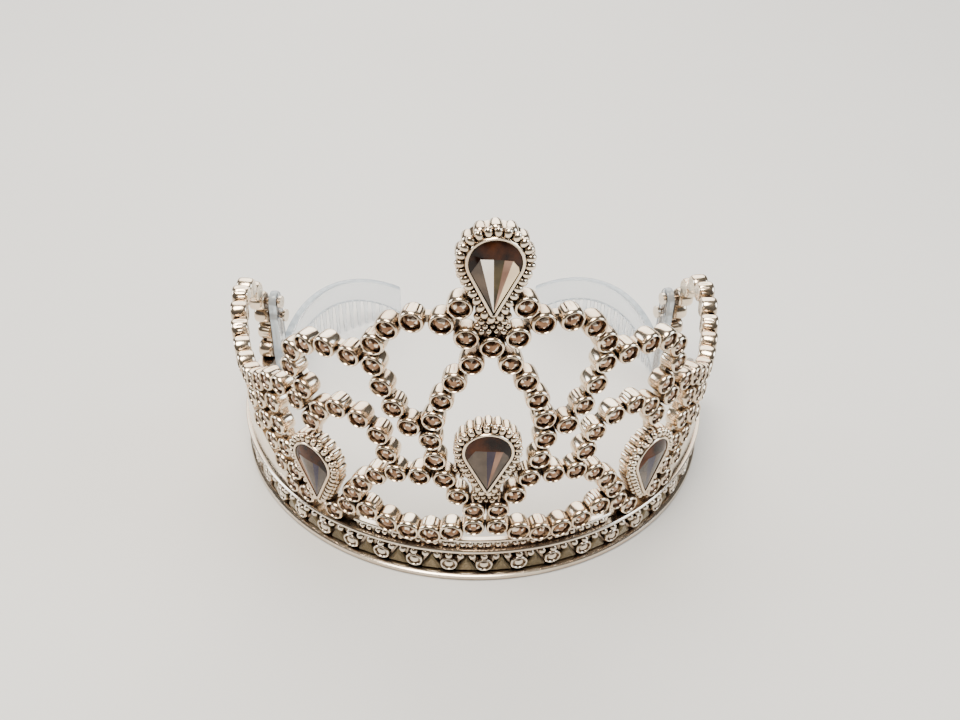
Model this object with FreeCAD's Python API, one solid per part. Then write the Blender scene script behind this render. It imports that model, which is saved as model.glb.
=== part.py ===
import FreeCAD, Part
import math
import os
from FreeCAD import Vector

# Toy tiara: an openwork front of round cups and pear settings standing on a curved base band,
# with a clear comb pegged inside each end.  Millimetres, +Z up, front of the tiara towards -Y.
# Places on the shell are written (s, z): s is the distance round the base circle from the
# front centre line, positive to the wearer's left, and z is the height above the table.

# ---- driving dimensions -------------------------------------------------------------------
BASE_RADIUS = 60.0          # front faces of the cups, at table height
LEAN = 0.0572               # growth of that radius per millimetre of height, at the front
LEAN_FADE = 0.03            # the sides lean less than the front by up to this much
HALF_ARC_DEG = 106.0        # the band runs this far round, either side of the front

CUP_RADIUS = 2.5
CUP_NECK_RADIUS = 2.2       # cup body behind its raised rim
CUP_DEPTH = 4.0
CUP_RIM_DEPTH = 0.9
POCKET_RADIUS = 1.85
POCKET_DEPTH = 1.0
ROUND_STONE_RADIUS = 1.75
ROUND_STONE_RISE = 0.25     # tip of a round stone above its cup
ROUND_STONE_SIDES = 8
WEB_WIDTH = 2.2             # flat strip joining neighbouring cups at the back
WEB_BACK = 3.9
WEB_FRONT = 2.0

BAND_INNER_RADIUS = 56.6
BAND_HEIGHT = 9.8
RIM_HEIGHT = 1.5
FLANGE_HEIGHT = 1.1
CHANNEL_DEPTH = 1.5         # below the cup faces
RIM_PROUD = 0.7             # bottom rim and top flange, beyond the cup faces
PATTERN_PITCH = 8.0         # round stud to round stud along the band
PATTERN_STUDS = 19
STUD_RADIUS = 2.0
STUD_HEIGHT_Z = 4.9
PEARL_RADIUS = 0.8
PEARLS_PER_STUD = 3

RAIL_HALF_LENGTH = 31.0
RAIL_BOTTOM = 10.9
RAIL_TOP = 12.1
POST_PITCH = 4.5
POST_WIDTH = 0.8

PEAR_RADIUS = 4.7           # round end of a pear stone
PEAR_TIP = 11.2             # centre of the round end down to the tip
PEAR_POCKET_DEPTH = 1.0
BEZEL_WIDTH = 0.55
BEZEL_PROUD = 0.25
HALO_WIDTH = 1.7
CROWN_RADIUS = 6.7
CROWN_LOBES = 15
CROWN_LOBE_RISE = 0.5
CROWN_SPREAD_DEG = 235.0    # how far the lobed crown runs round the round end
SETTING_STEP = 0.5          # halo and crown behind the cup faces
STONE_RIDGE_RISE = 1.5      # ridge across a pear stone, in front of the cup faces

COMB_RADIUS = 43.0          # outside of the comb in plan
COMB_CENTRE = (11.9, 5.7)   # centre of that curve, from the axis of the band
COMB_THICKNESS = 2.0
COMB_START_DEG = 96.5       # about the comb's own centre
COMB_SWEEP_DEG = 71.0
COMB_PEAK_DEG = 134.5       # where its arched back is highest
COMB_PEAK = 18.6
COMB_ARCH_RADIUS = 40.0
COMB_SPINE_DEPTH = 7.0
COMB_TOOTH_BOTTOM = 0.6
COMB_TOOTH_WIDTH = 1.3
COMB_TEETH = 21
COMB_TAB_TOP = 31.5         # upright tab at the front end, pegged to the end loop
COMB_TAB_DEG = 7.0

PEG_RADIUS = 0.9
PEG_HOLE_RADIUS = 1.0
PEG_HEAD_RADIUS = 1.7
PEG_HEAD_THICKNESS = 0.7
PEGGED_CUPS = (7, 8)        # which cups of the end loop carry the pegs
PEG_REACH = 3.7             # from the back of a cup to the inner face of the comb

PANEL_TOP = 26.0
PANEL_OUTLINE = [(43.0, 10.4), (50.0, 13.6), (60.0, 17.2), (70.0, 22.6), (79.0, 25.0), (88.0, 21.5),
                 (96.5, 10.4)]

# Pear settings: (s, height of the centre of the round end)
SIDE_PEAR_S = 40.2
SIDE_PEAR_Z = 26.2
CENTRE_PEAR_Z = 40.8
TOP_PEAR_Z = 87.3

# Rows of cups on one side of the front centre line: points the row's curve passes through,
# and how many cups are spaced evenly along it.
ARCH_ARM = [(3.6, 63.7), (9.4, 53.4), (11.5, 42.8), (8.8, 31.8), (2.6, 22.5)], 9
ARCH_FOOT = [(2.6, 17.2)], 1
ARCH_HEAD = [(0.0, 67.9)], 1
UPPER_SCROLL = [(4.6, 70.0), (13.4, 73.1), (21.4, 67.2), (21.2, 56.0), (15.8, 45.9)], 9
UPPER_SHOULDER = [(5.8, 77.0)], 1
SIDE_SCROLL = [(27.2, 61.3), (34.8, 61.2), (41.3, 57.2), (43.0, 51.9), (40.0, 47.3)], 6
INNER_SCROLL = [(20.9, 36.8), (23.4, 42.8), (30.2, 45.8), (36.1, 43.2)], 5
CROSS_ROW = [(14.1, 32.0), (23.3, 29.6), (28.6, 23.9), (32.0, 16.3)], 6
CROSS_FOOT = [(36.0, 12.5)], 1
SWAG_ROW = [(7.5, 15.2), (17.5, 13.9), (26.7, 17.1)], 5
SHOULDER_ROW = [(39.1, 38.8), (42.8, 42.4), (47.6, 43.6), (57.2, 39.2), (67.3, 34.0)], 7
FLANK_INNER = [(44.4, 12.9), (50.3, 24.6), (52.3, 36.2)], 5
FLANK_MIDDLE = [(49.7, 12.8), (56.2, 22.6), (58.4, 33.2)], 5
FLANK_OUTER = [(62.6, 23.6), (64.6, 29.2)], 2
END_LOOP = [(72.7, 33.6), (84.0, 35.6), (98.5, 38.0), (108.6, 27.0), (109.0, 12.3)], 11


# ---- the shell ----------------------------------------------------------------------------
def lean(s):
    return LEAN - LEAN_FADE * math.sin(s / BASE_RADIUS) ** 4


def shell_radius(z, s=0):
    return BASE_RADIUS + lean(s) * z


def place(s, z):
    """Local frame on the shell: x along the band, y up the lean, z outwards."""
    angle = s / BASE_RADIUS
    tilt = math.atan(lean(s))
    tangent = Vector(math.cos(angle), math.sin(angle), 0)
    up = Vector(math.sin(tilt) * math.sin(angle), -math.sin(tilt) * math.cos(angle), math.cos(tilt))
    outward = tangent.cross(up)
    radius = shell_radius(z, s)
    origin = Vector(radius * math.sin(angle), -radius * math.cos(angle), z)
    return FreeCAD.Placement(origin, FreeCAD.Rotation(tangent, up, outward, "XYZ"))


def put(shape, s, z):
    moved = shape.copy()
    moved.Placement = place(s, z).multiply(moved.Placement)
    return moved


def mirrored(shape):
    """The same shape on the wearer's right."""
    return shape.mirror(Vector(0, 0, 0), Vector(1, 0, 0))


def row(spec):
    """Centres of the cups of one row, spaced evenly along its curve."""
    points, count = spec
    if count == 1:
        return list(points)
    curve = Part.BSplineCurve()
    curve.interpolate([Vector(s, z, 0) for s, z in points])
    return [(p.x, p.y) for p in curve.discretize(Number=count)]


def lathe(profile):
    """Solid of revolution about the local z axis from (radius, depth) points."""
    wire = Part.makePolygon([Vector(r, 0, h) for r, h in profile + profile[:1]])
    return Part.Face(wire).revolve(Vector(0, 0, 0), Vector(0, 0, 1), 360)


def ring_sector(profile, start_deg, end_deg):
    """Closed (radius, z) profile turned round the tiara's axis between two angles."""
    wire = Part.makePolygon([Vector(0, -r, z) for r, z in profile + profile[:1]])
    face = Part.Face(wire)
    face.rotate(Vector(0, 0, 0), Vector(0, 0, 1), start_deg)
    return face.revolve(Vector(0, 0, 0), Vector(0, 0, 1), end_deg - start_deg)


def joined(shapes):
    if len(shapes) == 1:
        return shapes[0]
    return shapes[0].multiFuse(shapes[1:]).removeSplitter()


def polyhedron(vertices, faces):
    corners = [Vector(*v) for v in vertices]
    shell = Part.Shell([Part.Face(Part.makePolygon([corners[i] for i in f + f[:1]])) for f in faces])
    solid = Part.Solid(shell)
    if solid.Volume < 0:
        solid.reverse()
    return solid


# ---- round cups and their stones ----------------------------------------------------------
def cup():
    return lathe([
        (0, -CUP_DEPTH),
        (CUP_NECK_RADIUS, -CUP_DEPTH),
        (CUP_NECK_RADIUS, -CUP_RIM_DEPTH - 0.3),
        (CUP_RADIUS, -CUP_RIM_DEPTH),
        (CUP_RADIUS, -0.2),
        (CUP_RADIUS - 0.2, 0),
        (POCKET_RADIUS + 0.1, 0),
        (POCKET_RADIUS, -0.1),
        (POCKET_RADIUS, -POCKET_DEPTH),
        (0, -POCKET_DEPTH),
    ])


def cup_space():
    """Room a cup takes, cut out of anything that runs up to it."""
    return Part.makeCylinder(CUP_RADIUS, CUP_DEPTH + 1.0, Vector(0, 0, -CUP_DEPTH - 0.5))


def round_stone():
    sides = ROUND_STONE_SIDES
    girdle = -POCKET_DEPTH + 0.35
    turns = [2 * math.pi * (k + 0.5) / sides for k in range(sides)]
    corners = [(ROUND_STONE_RADIUS * math.cos(a), ROUND_STONE_RADIUS * math.sin(a)) for a in turns]
    vertices = [(x, y, -POCKET_DEPTH) for x, y in corners] + [(x, y, girdle) for x, y in corners]
    vertices.append((0, 0, ROUND_STONE_RISE))
    faces = [list(range(sides))]
    for k in range(sides):
        after = (k + 1) % sides
        faces.append([k, after, sides + after, sides + k])
        faces.append([sides + k, sides + after, 2 * sides])
    return polyhedron(vertices, faces)


def web(start, end):
    """Flat strip behind the cups from one place on the shell to another."""
    middle = place((start[0] + end[0]) / 2, (start[1] + end[1]) / 2)
    first = place(*start).multVec(Vector(0, 0, -WEB_BACK))
    last = place(*end).multVec(Vector(0, 0, -WEB_BACK))
    along = last.sub(first)
    outward = middle.Rotation.multVec(Vector(0, 0, 1))
    strip = Part.makeBox(along.Length, WEB_WIDTH, WEB_BACK - WEB_FRONT, Vector(0, -WEB_WIDTH / 2, 0))
    strip.Placement = FreeCAD.Placement(first, FreeCAD.Rotation(along, Vector(), outward, "XZY"))
    return strip


def cup_row(centres, extra_webs=(), around=()):
    """Cups joined by webs into one piece, with room cut out for the cups of other pieces."""
    solids = [put(cup(), *c) for c in centres]
    pairs = list(zip(centres[:-1], centres[1:])) + list(extra_webs)
    webs = [web(a, b) for a, b in pairs if math.dist(a, b) < 2.6 * CUP_DEPTH]
    if around:
        webs = [w.cut(Part.makeCompound([put(cup_space(), *c) for c in around])) for w in webs]
        webs = [solid for w in webs for solid in w.Solids if solid.Volume > 0.2]
    return joined(solids + webs)


# ---- base band ----------------------------------------------------------------------------
def band_profile(channel):
    outer = BASE_RADIUS + RIM_PROUD
    floor = BASE_RADIUS - CHANNEL_DEPTH if channel else outer - 0.4
    flange_bottom = BAND_HEIGHT - FLANGE_HEIGHT
    return [
        (BAND_INNER_RADIUS, 0),
        (outer - 0.4, 0),
        (outer, 0.4),
        (outer, RIM_HEIGHT - 0.4),
        (outer - 0.4, RIM_HEIGHT),
        (floor, RIM_HEIGHT + 0.2),
        (floor, flange_bottom - 0.1),
        (outer, flange_bottom + 0.2),
        (outer + 0.2, BAND_HEIGHT - 0.4),
        (outer - 0.2, BAND_HEIGHT),
        (BAND_INNER_RADIUS, BAND_HEIGHT),
    ]


def base_band():
    pattern_half_deg = math.degrees(PATTERN_PITCH * PATTERN_STUDS / 2 / BASE_RADIUS)
    middle = ring_sector(band_profile(True), -pattern_half_deg, pattern_half_deg)
    right = ring_sector(band_profile(False), pattern_half_deg, HALF_ARC_DEG)
    left = ring_sector(band_profile(False), -HALF_ARC_DEG, -pattern_half_deg)
    return joined([middle, right, left])


def stud_places():
    half = PATTERN_STUDS // 2
    return [PATTERN_PITCH * k for k in range(-half, half + 1)]


def band_studs():
    stud = lathe([
        (0, -CHANNEL_DEPTH + 0.02),
        (STUD_RADIUS, -CHANNEL_DEPTH + 0.02),
        (STUD_RADIUS, -0.5),
        (STUD_RADIUS - 0.4, 0.1),
        (0.7, 0.5),
        (0, 0.5),
    ])
    floor_tilt = LEAN * STUD_HEIGHT_Z
    stud.translate(Vector(0, 0, -floor_tilt + 0.15))
    return Part.makeCompound([put(stud, s, STUD_HEIGHT_Z) for s in stud_places()])


def band_facets():
    """Triangular facet, point up, between each pair of studs."""
    half_width, height, taper = 2.7, 4.8, 0.5
    back = -CHANNEL_DEPTH + 0.05
    front = -0.55
    base = [(-half_width, 0), (half_width, 0), (0, height)]
    vertices = [(x, y, back) for x, y in base]
    vertices += [(x * taper, height / 3 + (y - height / 3) * taper, front) for x, y in base]
    faces = [[0, 1, 2], [3, 4, 5], [0, 1, 4, 3], [1, 2, 5, 4], [2, 0, 3, 5]]
    facet = polyhedron(vertices, faces)
    places = [s + PATTERN_PITCH / 2 for s in stud_places()[:-1]]
    return Part.makeCompound([put(facet, s, RIM_HEIGHT + 0.35) for s in places])


def band_pearls():
    """Row of small pearls under the top flange."""
    pitch = PATTERN_PITCH / PEARLS_PER_STUD
    half = (PATTERN_STUDS - 1) * PEARLS_PER_STUD // 2
    pearl = Part.makeSphere(PEARL_RADIUS, Vector(0, 0, -CHANNEL_DEPTH + PEARL_RADIUS - 0.3))
    height = BAND_HEIGHT - FLANGE_HEIGHT - PEARL_RADIUS - 0.35
    return Part.makeCompound([put(pearl, pitch * k, height) for k in range(-half, half + 1)])


def gallery_rail(around):
    """Thin rail above the flange, on short posts."""
    outer = shell_radius(RAIL_TOP) - 1.0
    inner = outer - 2.2
    half_deg = math.degrees(RAIL_HALF_LENGTH / BASE_RADIUS)
    rail = ring_sector([(inner, RAIL_BOTTOM), (outer, RAIL_BOTTOM), (outer, RAIL_TOP), (inner, RAIL_TOP)],
                       -half_deg, half_deg)
    posts = []
    count = int(RAIL_HALF_LENGTH / POST_PITCH)
    for k in range(-count, count + 1):
        middle_deg = math.degrees((k + 0.5) * POST_PITCH / BASE_RADIUS)
        half_post = math.degrees(POST_WIDTH / 2 / BASE_RADIUS)
        if abs((k + 0.5) * POST_PITCH) < RAIL_HALF_LENGTH:
            profile = [(inner + 0.3, BAND_HEIGHT), (outer - 0.3, BAND_HEIGHT),
                       (outer - 0.3, RAIL_BOTTOM + 0.1), (inner + 0.3, RAIL_BOTTOM + 0.1)]
            posts.append(ring_sector(profile, middle_deg - half_post, middle_deg + half_post))
    whole = joined([rail] + posts)
    return whole.cut(Part.makeCompound([put(cup_space(), *c) for c in around]))


def end_panel(around):
    """Smooth panel standing on the band between the flank rows and the end loop."""
    first, last = PANEL_OUTLINE[0][0], PANEL_OUTLINE[-1][0]
    middle_s = (first + last) / 2
    low = shell_radius(BAND_HEIGHT, middle_s)
    high = shell_radius(PANEL_TOP, middle_s)
    profile = [(low - 3.9, BAND_HEIGHT), (low - 0.6, BAND_HEIGHT), (high - 1.2, PANEL_TOP),
               (high - 3.9, PANEL_TOP)]
    wall = ring_sector(profile, math.degrees(first / BASE_RADIUS), math.degrees(last / BASE_RADIUS))
    middle = middle_s / BASE_RADIUS
    across = Vector(math.cos(middle), math.sin(middle), 0)
    outward = Vector(math.sin(middle), -math.cos(middle), 0)

    def corner(s, z):
        return across * (BASE_RADIUS * math.sin(s / BASE_RADIUS - middle)) + Vector(0, 0, z)

    top = Part.BSplineCurve()
    top.interpolate([corner(s, z) for s, z in PANEL_OUTLINE])
    ends = [corner(last, PANEL_OUTLINE[-1][1]), corner(last, 0), corner(first, 0),
            corner(first, PANEL_OUTLINE[0][1])]
    outline = Part.Wire([top.toShape()] + Part.makePolygon(ends).Edges)
    block = Part.Face(outline).extrude(outward * 80)
    return wall.common(block).cut(Part.makeCompound([put(cup_space(), *c) for c in around]))


# ---- pear settings and stones -------------------------------------------------------------
def pear_tangent():
    """Angle below the horizontal at which the straight sides leave the round end."""
    return math.asin(PEAR_RADIUS / PEAR_TIP)


def pear_wire(offset, depth):
    """Pear outline grown by an offset; grown outlines have a rounded tip."""
    slope = pear_tangent()
    radius = PEAR_RADIUS + offset
    side = Vector(radius * math.cos(slope), -radius * math.sin(slope), depth)
    other = Vector(-side.x, side.y, depth)
    top = Vector(0, radius, depth)
    edges = [Part.Arc(side, top, other).toShape()]
    tip = Vector(0, -PEAR_TIP, depth)
    if offset <= 0:
        tip = Vector(0, -PEAR_TIP - offset / math.sin(slope), depth)
        edges += [Part.makeLine(other, tip), Part.makeLine(tip, side)]
    else:
        right = tip + Vector(offset * math.cos(slope), -offset * math.sin(slope), 0)
        left = Vector(-right.x, right.y, depth)
        edges += [Part.makeLine(other, left), Part.Arc(left, tip - Vector(0, offset, 0), right).toShape(),
                  Part.makeLine(right, side)]
    return Part.Wire(edges)


def pear_block(offset, back, front):
    return Part.Face(pear_wire(offset, back)).extrude(Vector(0, 0, front - back))


def crown_block(back, front):
    """Disc behind the round end with a lobed edge."""
    start = 90 - CROWN_SPREAD_DEG / 2
    step = CROWN_SPREAD_DEG / CROWN_LOBES

    def rim(degrees, radius):
        turn = math.radians(degrees)
        return Vector(radius * math.cos(turn), radius * math.sin(turn), back)

    edges = []
    for k in range(CROWN_LOBES):
        a = start + k * step
        bulge = rim(a + step / 2, CROWN_RADIUS + CROWN_LOBE_RISE)
        edges.append(Part.Arc(rim(a, CROWN_RADIUS), bulge, rim(a + step, CROWN_RADIUS)).toShape())
    end = start + CROWN_SPREAD_DEG
    low = Vector(0, rim(start, CROWN_RADIUS).y - 1.5, back)
    edges.append(Part.makeLine(rim(end, CROWN_RADIUS), low))
    edges.append(Part.makeLine(low, rim(start, CROWN_RADIUS)))
    return Part.Face(Part.Wire(edges)).extrude(Vector(0, 0, front - back))


def pear_setting():
    back = -CUP_DEPTH
    halo = pear_block(BEZEL_WIDTH + HALO_WIDTH, back, -SETTING_STEP)
    crown = crown_block(back, -SETTING_STEP)
    bezel = pear_block(BEZEL_WIDTH, back, BEZEL_PROUD)
    pocket = pear_block(0.04, -PEAR_POCKET_DEPTH, 2.0)
    return joined([halo, crown, bezel]).cut(pocket)


def pear_stone():
    """Pear stone with a sloping cap at the round end and fan facets down to the tip."""
    slope = math.degrees(pear_tangent())
    radius = PEAR_RADIUS - 0.04
    steps = 12
    outline = []
    for k in range(steps + 1):
        turn = math.radians(-slope + (180 + 2 * slope) * k / steps)
        outline.append((radius * math.cos(turn), radius * math.sin(turn)))
    outline.append((0, -PEAR_TIP + 0.1))
    count = len(outline)
    girdle = 0.05
    vertices = [(x, y, -PEAR_POCKET_DEPTH) for x, y in outline] + [(x, y, girdle) for x, y in outline]
    ridge = [(3.75, 0.2), (2.1, 1.15), (0, 1.4), (-2.1, 1.15), (-3.75, 0.2)]
    vertices += [(x, y, girdle + STONE_RIDGE_RISE * (1 - (x / PEAR_RADIUS) ** 2 * 0.6)) for x, y in ridge]
    faces = [list(range(count))]
    for k in range(count):
        after = (k + 1) % count
        faces.append([k, after, count + after, count + k])
    tip = 2 * count - 1
    first = 2 * count
    last = first + len(ridge) - 1
    for k in range(len(ridge) - 1):
        faces.append([first + k, first + k + 1, tip])
    # cap: rim point k of the arc goes with the nearest ridge point
    owner = [first + round((len(ridge) - 1) * k / steps) for k in range(steps + 1)]
    for k in range(steps):
        faces.append([count + k, count + k + 1, owner[k]])
        if owner[k] != owner[k + 1]:
            faces.append([count + k + 1, owner[k + 1], owner[k]])
    faces.append([count, first, tip])
    faces.append([count + steps, last, tip])
    return polyhedron(vertices, faces)


# ---- combs --------------------------------------------------------------------------------
def comb_sector(profile, start_deg, end_deg):
    sector = ring_sector(profile, start_deg, end_deg)
    sector.translate(Vector(COMB_CENTRE[0], COMB_CENTRE[1], 0))
    return sector


def comb_drum(radius, height, turn_deg):
    """Level cylinder lying outwards from the comb's own centre, to round off its outline."""
    turn = math.radians(turn_deg)
    outward = Vector(math.sin(turn), -math.cos(turn), 0)
    return Part.makeCylinder(radius, COMB_RADIUS + 10, Vector(*COMB_CENTRE, height), outward)


def comb(pegs):
    """Clear comb: an arched back with teeth below it, and an upright tab at its front end."""
    outer = COMB_RADIUS
    inner = COMB_RADIUS - COMB_THICKNESS
    end_deg = COMB_START_DEG + COMB_SWEEP_DEG
    arch_height = COMB_PEAK - COMB_ARCH_RADIUS
    wall = comb_sector([(inner, 0), (outer, 0), (outer - 0.3, COMB_PEAK + 1), (inner + 0.5, COMB_PEAK + 1)],
                       COMB_START_DEG, end_deg)
    arch = wall.common(comb_drum(COMB_ARCH_RADIUS, arch_height, COMB_PEAK_DEG))
    back = arch.cut(comb_drum(COMB_ARCH_RADIUS - COMB_SPINE_DEPTH, arch_height, COMB_PEAK_DEG))

    teeth = []
    step = COMB_SWEEP_DEG / COMB_TEETH
    half_root = math.degrees(COMB_TOOTH_WIDTH / 2 / outer)
    for k in range(COMB_TEETH):
        middle = COMB_START_DEG + (k + 0.5) * step
        profile = [(inner + 0.7, COMB_TOOTH_BOTTOM), (outer - 0.7, COMB_TOOTH_BOTTOM),
                   (outer - 0.25, COMB_PEAK), (inner + 0.3, COMB_PEAK)]
        tooth = comb_sector(profile, middle - half_root, middle + half_root)
        teeth.append(tooth.common(arch))

    tab_bottom = 5.0
    tab_end = COMB_START_DEG + COMB_TAB_DEG
    tab = comb_sector([(inner, tab_bottom), (outer, tab_bottom), (outer, COMB_TAB_TOP),
                       (inner, COMB_TAB_TOP)], COMB_START_DEG, tab_end)
    tab_radius = math.radians(COMB_TAB_DEG) * outer / 2
    tab_middle = COMB_START_DEG + COMB_TAB_DEG / 2
    crown = comb_drum(tab_radius, COMB_TAB_TOP - tab_radius, tab_middle)
    shoulder = comb_sector([(inner - 1, COMB_TAB_TOP - tab_radius), (outer + 1, COMB_TAB_TOP - tab_radius),
                            (outer + 1, COMB_TAB_TOP + 1), (inner - 1, COMB_TAB_TOP + 1)],
                           COMB_START_DEG - 1, tab_end + 1)
    tab = tab.cut(shoulder.cut(crown))

    whole = joined([back, tab] + teeth)
    holes = [peg_rod(c, PEG_HOLE_RADIUS, PEG_REACH + 3.0, 0) for c in pegs]
    return whole.cut(Part.makeCompound(holes))


def peg_rod(cup_centre, radius, length, start):
    """Rod pointing inwards from the back of a cup."""
    rod = Part.makeCylinder(radius, length, Vector(0, 0, -CUP_DEPTH - start), Vector(0, 0, -1))
    return put(rod, *cup_centre)


def comb_pegs(pegs):
    """Pegs from the backs of two cups through the comb, closed by melted heads."""
    solids = []
    for centre in pegs:
        rod = peg_rod(centre, PEG_RADIUS, PEG_REACH, 0)
        head = peg_rod(centre, PEG_HEAD_RADIUS, PEG_HEAD_THICKNESS, PEG_REACH)
        solids.append(rod.fuse(head).removeSplitter())
    return Part.makeCompound(solids)


# ---- assembly -----------------------------------------------------------------------------
def left_rows():
    """Every row of cups on the wearer's left, under the name of the piece it belongs to."""
    return {
        "upper_scroll": row(UPPER_SCROLL) + row(UPPER_SHOULDER),
        "side_scroll": row(SIDE_SCROLL),
        "inner_scroll": row(INNER_SCROLL),
        "cross_row": row(CROSS_ROW) + row(CROSS_FOOT),
        "swag_row": row(SWAG_ROW),
        "shoulder_row": row(SHOULDER_ROW),
        "flank_rows": row(FLANK_INNER) + row(FLANK_MIDDLE) + row(FLANK_OUTER),
        "end_loop": row(END_LOOP),
    }


def bridges(rows, arm, foot, head):
    """Webs that tie each piece to its neighbours, as pairs of places on the shell."""
    upper, cross = rows["upper_scroll"], rows["cross_row"]
    scroll, inner = rows["side_scroll"], rows["inner_scroll"]
    swag, shoulder = rows["swag_row"], rows["shoulder_row"]
    flank, loop = rows["flank_rows"], rows["end_loop"]
    flange = BAND_HEIGHT + 0.1
    pear_top = (SIDE_PEAR_S, SIDE_PEAR_Z + CROWN_RADIUS)
    return {
        "upper_scroll": [(upper[0], head), (upper[9], upper[1]), (upper[9], upper[0]),
                         (upper[8], arm[3]), (upper[8], arm[4])],
        "side_scroll": [(scroll[0], upper[5]), (scroll[0], upper[4]), (scroll[5], shoulder[1]),
                        (scroll[5], inner[4])],
        "inner_scroll": [(inner[0], cross[1]), (inner[0], cross[2]), (inner[1], upper[8]),
                         (inner[2], upper[7]), (inner[4], shoulder[0])],
        "cross_row": [(cross[0], arm[6]), (cross[5], (cross[5][0], flange)),
                      (cross[6], (cross[6][0], flange))],
        "swag_row": [(swag[0], foot), (swag[4], cross[5])] + [(c, (c[0], RAIL_TOP)) for c in swag[1:4]],
        "shoulder_row": [(shoulder[0], pear_top), (shoulder[3], flank[4]), (shoulder[4], flank[9]),
                         (shoulder[6], flank[11])],
        "flank_rows": [(flank[0], (flank[0][0], flange)), (flank[5], (flank[5][0], flange)),
                       (flank[0], flank[5]), (flank[2], flank[7]), (flank[3], flank[8]),
                       (flank[4], flank[9]), (flank[8], flank[10])],
        "end_loop": [(loop[0], shoulder[6])],
    }


def centre_arch(arm, foot, head):
    """Two mirrored arms of cups meeting at a cup above and a pair below."""
    gem_tip = (0, CENTRE_PEAR_Z - PEAR_TIP)
    half = cup_row(arm + [foot], [(arm[0], head), (arm[8], gem_tip)])
    middle = cup_row([head], [(head, (0, TOP_PEAR_Z - PEAR_TIP)), (foot, (-foot[0], foot[1])),
                              (arm[8], (-arm[8][0], arm[8][1]))])
    return joined([half, mirrored(half)] + middle.Solids)


def build():
    parts = {}
    rows = left_rows()
    arm, foot, head = row(ARCH_ARM), row(ARCH_FOOT)[0], row(ARCH_HEAD)[0]
    arch_cups = arm + [foot, head] + [(-s, z) for s, z in arm + [foot]]

    parts["base_band"] = base_band()
    parts["band_studs"] = band_studs()
    parts["band_facets"] = band_facets()
    parts["band_pearls"] = band_pearls()
    low_cups = rows["swag_row"] + rows["cross_row"]
    parts["gallery_rail"] = gallery_rail(low_cups + [(-s, z) for s, z in low_cups])

    setting, stone = pear_setting(), pear_stone()
    places = {"top": (0, TOP_PEAR_Z), "centre": (0, CENTRE_PEAR_Z), "side": (SIDE_PEAR_S, SIDE_PEAR_Z)}
    settings = {name: put(setting, *place) for name, place in places.items()}
    stones = {name: put(stone, *place) for name, place in places.items()}
    for name in ("top", "centre"):
        parts[name + "_setting"] = settings[name]
        parts[name + "_pear_stone"] = stones[name]
    setting_space = Part.makeCompound(list(settings.values()) + [mirrored(settings["side"])])
    parts["centre_arch"] = centre_arch(arm, foot, head).cut(setting_space)
    parts["stones_centre_arch"] = Part.makeCompound([put(round_stone(), *c) for c in arch_cups])

    left = {"side_setting": settings["side"], "side_pear_stone": stones["side"]}
    links = bridges(rows, arm, foot, head)
    for name, centres in rows.items():
        others = arch_cups + [c for key, cups in rows.items() if key != name for c in cups]
        left[name] = cup_row(centres, links[name], others).cut(setting_space)
        left["stones_" + name] = Part.makeCompound([put(round_stone(), *c) for c in centres])
    left["end_panel"] = end_panel(rows["flank_rows"] + rows["end_loop"] + rows["shoulder_row"])
    pegs = [rows["end_loop"][k] for k in PEGGED_CUPS]
    left["comb"] = comb(pegs)
    left["comb_pegs"] = comb_pegs(pegs)
    for name, shape in left.items():
        parts[name + "_left"] = shape
        parts[name + "_right"] = mirrored(shape)
    return parts


def centred(parts):
    """Move the whole tiara so its origin is the bottom centre of its bounding box."""
    box = FreeCAD.BoundBox()
    for shape in parts.values():
        box.add(shape.optimalBoundingBox(True, False))
    shift = Vector(-box.Center.x, -box.Center.y, -box.ZMin)
    return {node: shape.translated(shift) for node, shape in parts.items()}


os.makedirs("parts", exist_ok=True)
for node, shape in centred(build()).items():
    shape.exportStep("parts/" + node + ".step")
    valid = all(solid.isValid() for solid in shape.Solids)
    print("%-28s %3d solids %9.1f mm3  valid %s" % (node, len(shape.Solids), shape.Volume, valid))
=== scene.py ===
import math

import bpy
from mathutils import Matrix, Vector


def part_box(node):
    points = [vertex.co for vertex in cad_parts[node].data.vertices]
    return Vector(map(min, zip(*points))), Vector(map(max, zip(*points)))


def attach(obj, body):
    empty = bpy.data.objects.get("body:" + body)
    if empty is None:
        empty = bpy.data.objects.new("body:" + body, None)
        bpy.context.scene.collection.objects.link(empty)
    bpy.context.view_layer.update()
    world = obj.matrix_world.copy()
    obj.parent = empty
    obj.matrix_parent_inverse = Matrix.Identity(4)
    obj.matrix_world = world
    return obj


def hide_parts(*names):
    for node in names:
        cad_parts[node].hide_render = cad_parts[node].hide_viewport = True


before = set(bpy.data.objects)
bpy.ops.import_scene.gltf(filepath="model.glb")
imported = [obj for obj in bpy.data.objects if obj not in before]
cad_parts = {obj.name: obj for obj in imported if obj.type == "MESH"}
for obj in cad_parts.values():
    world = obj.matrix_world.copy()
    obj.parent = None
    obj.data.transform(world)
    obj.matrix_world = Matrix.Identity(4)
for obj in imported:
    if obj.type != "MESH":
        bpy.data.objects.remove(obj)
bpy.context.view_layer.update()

# The tiara's shell, in millimetres: a shallow cone round an upright axis, radius growing with
# height.  (s, z) is the distance round the base circle from the front, and the height.
MM = 0.001
BASE_RADIUS = 60.0
LEAN = 0.0572  # growth of the radius with height, at the front
LEAN_FADE = 0.03  # how much less it grows at the sides
BAND_REACH = 60.9  # from the axis to the front of the CAD band
AXIS_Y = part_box("base_band")[0].y / MM + BAND_REACH


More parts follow.
